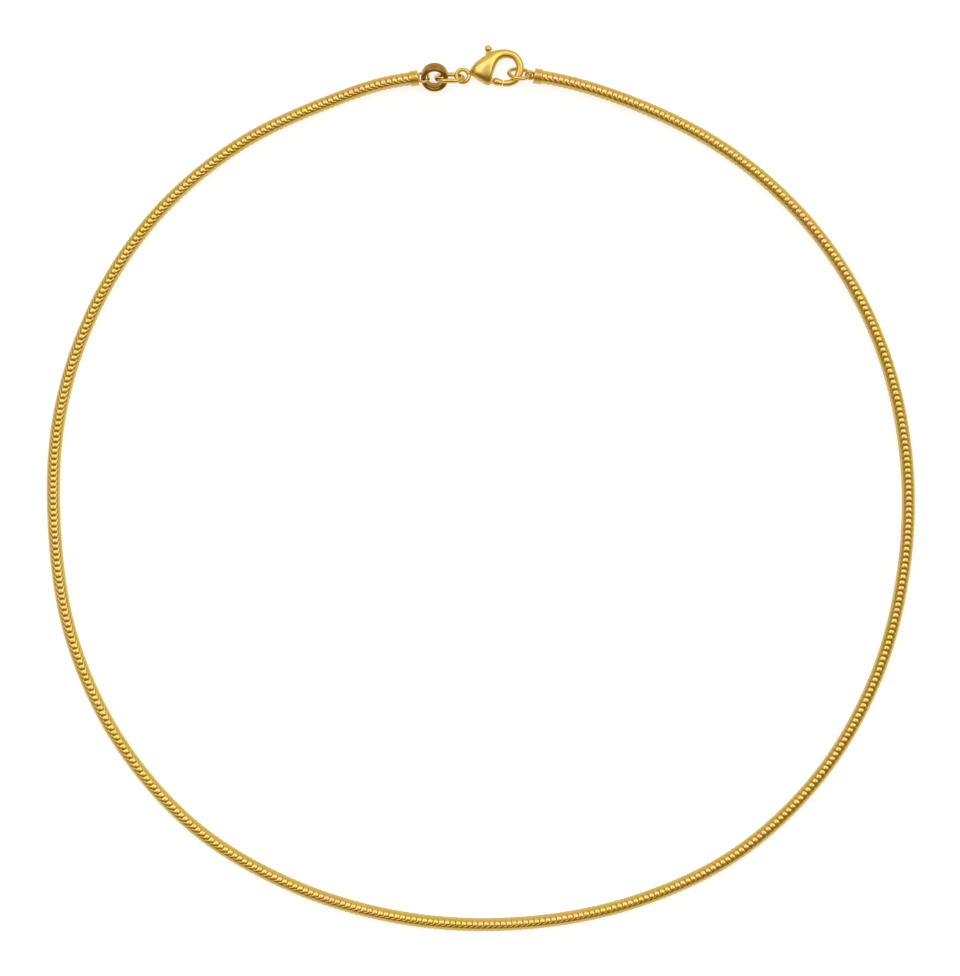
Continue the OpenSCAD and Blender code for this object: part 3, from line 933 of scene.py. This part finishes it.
class NECKLACE_OT_rings(bpy.types.Operator):
    """Make both jump rings and the oval link"""
    bl_idname = "necklace.rings"
    bl_label = "Jump rings and link"

    def execute(self, context):
        sizes = context.scene.necklace_rings
        finish = context.scene.necklace_finish
        polished = cast_gold("link_gold", finish, finish.roughness, depth=0.000003)
        # The band ring's plate is mostly painted shade: a dark colour in place of the dark surroundings it
        # reflects
        heavy = cast_gold("ring_gold", finish, finish.roughness, depth=0.000004, shade_share=0.9)
        left = band_ring(sizes.left_diameter, sizes.left_width, sizes.left_thickness)
        left = left.turned(RING_LEFT_TILT, "X").moved(middle_of("ring_left"))
        finished(mesh_object("ring_left_gold", left), heavy, NECKLACE, "ring_gold", "ring_left")
        radius = (sizes.right_diameter - sizes.right_wire) / 2
        right = ring(radius, sizes.right_wire).turned(RING_RIGHT_TILT, "X")
        right = right.turned(RING_RIGHT_TURN, "Z").moved(middle_of("ring_right"))
        finished(mesh_object("ring_right_gold", right), polished, NECKLACE, "link_gold",
                 "ring_right")
        radius = sizes.left_width / 2 + sizes.link_gap + sizes.link_wire / 2
        half = (sizes.link_length - sizes.link_wire) / 2 - radius
        link = oval_ring(half, radius, sizes.link_wire).turned(LINK_TILT, "X")
        link = link.moved(middle_of("small_link"))
        finished(mesh_object("small_link_gold", link), polished, NECKLACE, "link_gold", "small_link")
        return {"FINISHED"}


def pivot_place():
    """Middle of the lever's hinge."""
    return np.array(frame["joints"][0]["pos_m"])


def lever_travel():
    """How far the lever turns, in degrees."""
    return frame["joints"][0]["range_deg"][1]


class NECKLACE_OT_clasp_body(bpy.types.Operator):
    """Make the body of the lobster clasp, with its eye, hook, slot and bore"""
    bl_idname = "necklace.clasp_body"
    bl_label = "Clasp body"

    def execute(self, context):
        sizes = context.scene.necklace_clasp
        finish = context.scene.necklace_finish
        pivot = pin_from_eye(sizes)
        body = claw_shell(sizes)
        eye = ring((sizes.eye_diameter - sizes.eye_wire) / 2, sizes.eye_wire)
        slot = slot_shell(sizes, lever_travel()).moved(pivot)
        bore = pin_shell(sizes.pin_diameter, 2 * sizes.body_thickness).moved(pivot)
        obj = combined(mesh_object("clasp_body_gold", body), ("UNION", eye), ("DIFFERENCE", slot),
                       ("DIFFERENCE", bore))
        place_object(obj, 0, pivot_place() - pivot)
        material = cast_gold("clasp_gold", finish, finish.roughness + 0.02, depth=0.000008)
        finished(obj, material, NECKLACE, "clasp_gold", "clasp_body")
        return {"FINISHED"}


class NECKLACE_OT_clasp_pin(bpy.types.Operator):
    """Make the rivet that the lever turns on"""
    bl_idname = "necklace.clasp_pin"
    bl_label = "Clasp pin"

    def execute(self, context):
        sizes = context.scene.necklace_clasp
        finish = context.scene.necklace_finish
        pivot = pin_from_eye(sizes)
        body = claw_shell(sizes)
        shank = pin_shell(sizes.pin_diameter * PIN_FIT, sizes.body_thickness).moved(pivot)
        obj = combined(mesh_object("clasp_pin_gold", shank), ("INTERSECT", body))
        place_object(obj, 0, pivot_place() - pivot)
        material = cast_gold("pin_gold", finish, finish.roughness + 0.02, depth=0.000008)
        finished(obj, material, NECKLACE, "pin_gold", "clasp_pin")
        return {"FINISHED"}


class NECKLACE_OT_clasp_lever(bpy.types.Operator):
    """Make the lever with its knob and its gate"""
    bl_idname = "necklace.clasp_lever"
    bl_label = "Clasp lever"

    def execute(self, context):
        finish = context.scene.necklace_finish
        obj = build_lever(context.scene.necklace_clasp)
        place_object(obj, 0, pivot_place())
        material = cast_gold("lever_gold", finish, finish.roughness, depth=0.000004)
        finished(obj, material, LEVER, "lever_gold", "clasp_lever")
        return {"FINISHED"}


class NECKLACE_OT_stage(bpy.types.Operator):
    """Make the pale floor, the studio light and the camera"""
    bl_idname = "necklace.stage"
    bl_label = "Stage"

    def execute(self, context):
        settings = context.scene.necklace_stage
        make_floor(settings)
        make_light(context.scene, settings)
        make_camera(context.scene, settings)
        context.scene.view_settings.view_transform = "Standard"
        return {"FINISHED"}


# The floor's colour, darkest and lightest, and its glow
FLOOR_TONES = ((0.47, 0.48, 0.52), (0.50, 0.51, 0.55))
FLOOR_GLOW = (0.97, 0.98, 1.00)
FLOOR_GLOW_STRENGTH = 0.76


def make_floor(settings):
    """A plain pale floor that glows a little, as a lit table does."""
    half = settings.floor_size / 2
    corner = np.array([(-half, -half, 0), (half, -half, 0), (half, half, 0), (-half, half, 0)], float)
    floor = mesh_object("floor", Shell(corner, [np.array([[0, 1, 2, 3]])]))
    material, shader = new_material("floor_paper")
    grain = shader.noise(40.0)
    colour = shader.mix(grain, *(rgba(colour) for colour in FLOOR_TONES))
    surface = shader.node("ShaderNodeBsdfPrincipled", {}, {
        "Base Color": colour, "Roughness": 0.9, "Emission Color": rgba(FLOOR_GLOW),
        "Emission Strength": FLOOR_GLOW_STRENGTH})
    shader.node("ShaderNodeOutputMaterial", {}, {"Surface": surface})
    floor.data.materials.append(material)
    floor.visible_glossy = False


# The studio's light all the way round the X axis, from straight below, over the clasp's side, the
# zenith and the front's side, to straight below: angle from the zenith towards the front in
# degrees, and colour
STUDIO = [
    (-180, (0.30, 0.24, 0.10)),
    (-125, (0.44, 0.38, 0.22)),
    (-95, (0.52, 0.47, 0.34)),
    (-70, (0.50, 0.44, 0.28)),
    (-48, (0.56, 0.50, 0.32)),
    (-30, (1.00, 1.00, 0.94)),
    (-2, (1.00, 1.00, 0.94)),
    (14, (0.44, 0.36, 0.18)),
    (26, (0.17, 0.11, 0.03)),
    (52, (0.17, 0.11, 0.03)),
    (74, (0.42, 0.35, 0.20)),
    (98, (0.52, 0.47, 0.34)),
    (180, (0.30, 0.24, 0.10))]
STUDIO_PEAK = 1.45
# What the sides of the studio reflect, and what lies under the horizon
STUDIO_SIDE = (0.32, 0.26, 0.11)
STUDIO_UNDER = (0.56, 0.53, 0.43)
# What the opening overhead reflects, and how much of it is seen
STUDIO_OPENING = (0.30, 0.20, 0.05)
OPENING_SHARE = 0.6
# Where each part fades in and is whole, as parts of a direction of length 1: the sides by how far
# it goes along X from the studio's middle, the opening and what is under the horizon by its Z
STUDIO_MIDDLE = 0.08
SIDE_FADE = (0.58, 0.88)
OPENING_FADE = (0.94, 0.985)
UNDER_FADE = (0.22, -0.25)


def make_light(scene, settings):
    """A studio tent: its colour depends on the direction's angle about the X axis, with a wide
    bright panel overhead and a dark gap towards the front. It fades to the sides' colour to the
    left and to the right, it has a duller round opening straight overhead, and what lies under the
    horizon is the table out of the picture."""
    world = bpy.data.worlds.new("studio")
    world.use_nodes = True
    scene.world = world
    shader = Shader(world.node_tree)
    way = shader.node("ShaderNodeTexCoord", out=0)
    way = shader.node("ShaderNodeVectorMath", {"operation": "NORMALIZE"}, {0: way})
    parts = shader.node("ShaderNodeSeparateXYZ", {}, {0: way})
    x, y, z = (Socket(shader, output) for output in parts.output.node.outputs)
    lean = shader.maths("ARCTAN2", -1 * y, z) / math.pi
    stops = [(angle / 360 + 0.5, colour) for angle, colour in STUDIO]
    ramp = shader.node("ShaderNodeValToRGB", {"stops": stops}, {0: lean * 0.5 + 0.5})
    aside = shader.step(shader.maths("ABSOLUTE", x - STUDIO_MIDDLE), *SIDE_FADE)
    colour = shader.mix(aside, ramp, rgba(STUDIO_SIDE))
    opening = shader.step(z, *OPENING_FADE) * OPENING_SHARE
    colour = shader.mix(opening, colour, rgba(STUDIO_OPENING))
    colour = shader.mix(shader.step(z, *UNDER_FADE), colour, rgba(STUDIO_UNDER))
    strength = STUDIO_PEAK * settings.light
    glow = shader.node("ShaderNodeBackground", {}, {"Color": colour, "Strength": strength})
    shader.node("ShaderNodeOutputWorld", {}, {"Surface": glow})


# Middle of the picture over the necklace's frame
PICTURE_MIDDLE = (-0.000135, 0.000026)
SENSOR = 36.0


def make_camera(scene, settings):
    """The camera straight above, with the clasp at the top of the picture."""
    data = bpy.data.cameras.new("camera")
    data.sensor_width = SENSOR
    data.lens = SENSOR * settings.camera_distance / settings.view_height
    data.clip_start = 0.01
    data.clip_end = 100
    camera = bpy.data.objects.new("camera", data)
    scene.collection.objects.link(camera)
    chain = scene.necklace_chain
    camera.location = (*PICTURE_MIDDLE, chain.diameter / 2 + settings.camera_distance)
    scene.camera = camera


GROUPS = (("necklace_chain", ChainSizes), ("necklace_caps", CapSizes), ("necklace_rings", RingSizes),
          ("necklace_clasp", ClaspSizes), ("necklace_finish", Finish),
          ("necklace_stage", StageSettings))
OPERATORS = (NECKLACE_OT_chain, NECKLACE_OT_caps, NECKLACE_OT_rings, NECKLACE_OT_clasp_body,
             NECKLACE_OT_clasp_pin, NECKLACE_OT_clasp_lever, NECKLACE_OT_stage)


class NECKLACE_PT_panel(bpy.types.Panel):
    """Sizes, colours and steps of the necklace"""
    bl_label = "Snake chain necklace"
    bl_idname = "NECKLACE_PT_panel"
    bl_space_type = "VIEW_3D"
    bl_region_type = "UI"
    bl_category = "Necklace"

    def draw(self, context):
        for name, group in GROUPS:
            box = self.layout.box()
            box.label(text=group.__doc__)
            for field in group.__annotations__:
                box.prop(getattr(context.scene, name), field)
        for operator in OPERATORS:
            self.layout.operator(operator.bl_idname)


def register():
    """Adds the classes and the settings."""
    for name, group in GROUPS:
        bpy.utils.register_class(group)
        setattr(bpy.types.Scene, name, PointerProperty(type=group))
    for operator in OPERATORS:
        bpy.utils.register_class(operator)
    bpy.utils.register_class(NECKLACE_PT_panel)


def unregister():
    """Takes the classes and the settings away."""
    bpy.utils.unregister_class(NECKLACE_PT_panel)
    for operator in reversed(OPERATORS):
        bpy.utils.unregister_class(operator)
    for name, group in reversed(GROUPS):
        delattr(bpy.types.Scene, name)
        bpy.utils.unregister_class(group)


def main():
    """Makes the whole necklace and its stage."""
    register()
    bpy.ops.necklace.stage()
    bpy.ops.necklace.chain()
    bpy.ops.necklace.caps()
    bpy.ops.necklace.rings()
    bpy.ops.necklace.clasp_body()
    bpy.ops.necklace.clasp_pin()
    bpy.ops.necklace.clasp_lever()


if __name__ == "__main__":
    main()
